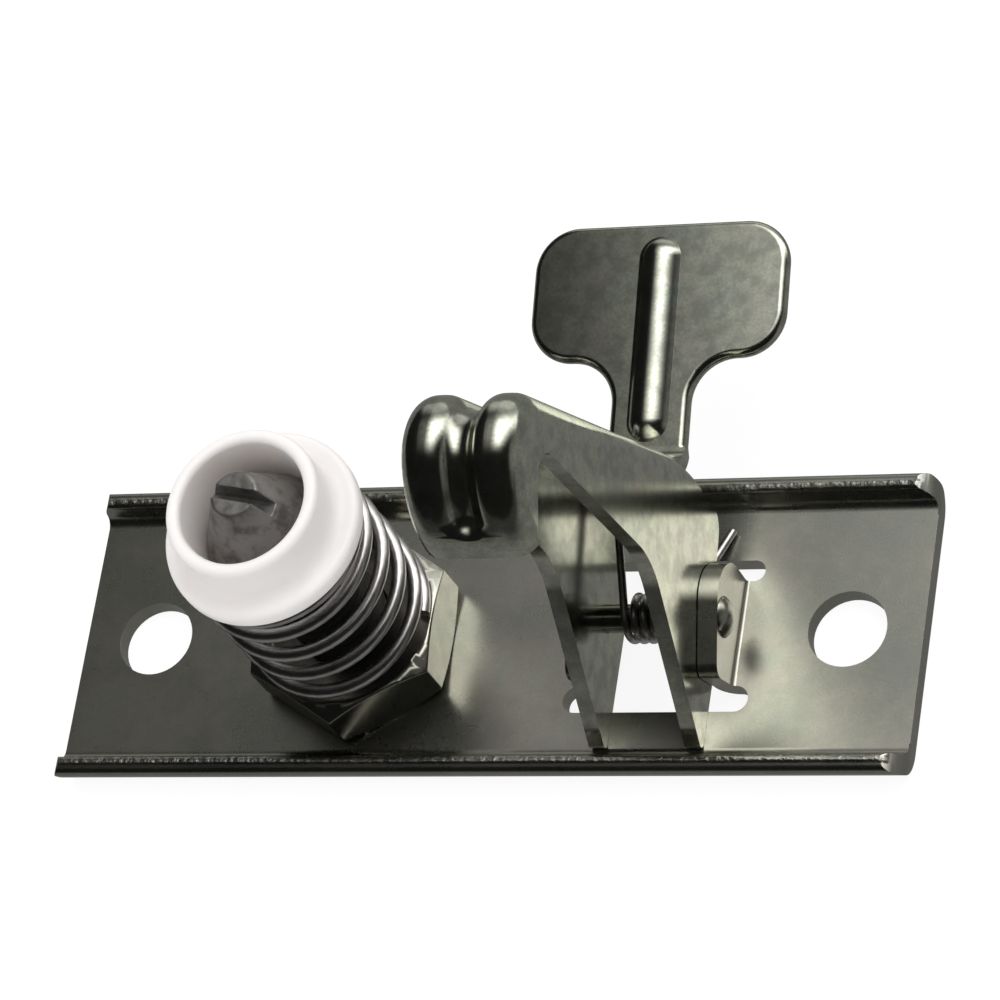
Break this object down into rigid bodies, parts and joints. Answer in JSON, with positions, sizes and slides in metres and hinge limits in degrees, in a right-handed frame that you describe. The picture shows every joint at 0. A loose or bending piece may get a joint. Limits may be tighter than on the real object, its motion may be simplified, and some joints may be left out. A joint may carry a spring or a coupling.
{
  "type": "hood latch",
  "caption": "Upper half of a sprung hood latch: flanged plate with a sprung striker pin in a plastic cup and a pivoting safety hook with a T-shaped finger handle.",
  "frame": {"origin": "on the plate's back face, midway between the two mounting holes", "axes": "+X along the plate from the striker to the safety hook, +Y across it towards the finger handle, +Z out of the plate's face"},
  "size_m": [0.112, 0.0665, 0.0715],
  "materials": {
    "plated_sheet": "bright zinc plate, slightly clouded",
    "plated_hook": "bright zinc plate, polished at the bends",
    "plated_pin": "bright zinc plate",
    "plated_nut": "bright zinc plate",
    "spring_wire": "plated spring wire",
    "turned_steel": "dull turned steel",
    "nylon": "off-white moulded nylon"
  },
  "bodies": {
    "plate": {"base_plate": "plated_sheet", "pivot_pin": "plated_pin", "torsion_spring": "spring_wire", "lock_nut": "plated_nut", "striker_pin": "turned_steel", "striker_spring": "spring_wire"},
    "hook": {"safety_hook": "plated_hook"},
    "cup": {"spring_cup": "nylon"}
  },
  "joints": [
    {"name": "hook_pivot", "type": "hinge", "parent": "plate", "child": "hook", "pos_m": [0.0228, -0.00095, 0.0084], "axis": [1, 0, 0], "range_deg": [-17, 0], "stiffness_Nm_per_rad": 0.25, "springref_deg": 20.05, "deforming": ["torsion_spring"]},
    {"name": "cup_slide", "type": "slide", "parent": "plate", "child": "cup", "axis": [0, 0, -1], "range_m": [0, 0.012], "stiffness_N_per_m": 2500, "springref_m": -0.012, "deforming": ["striker_spring"]}
  ]
}
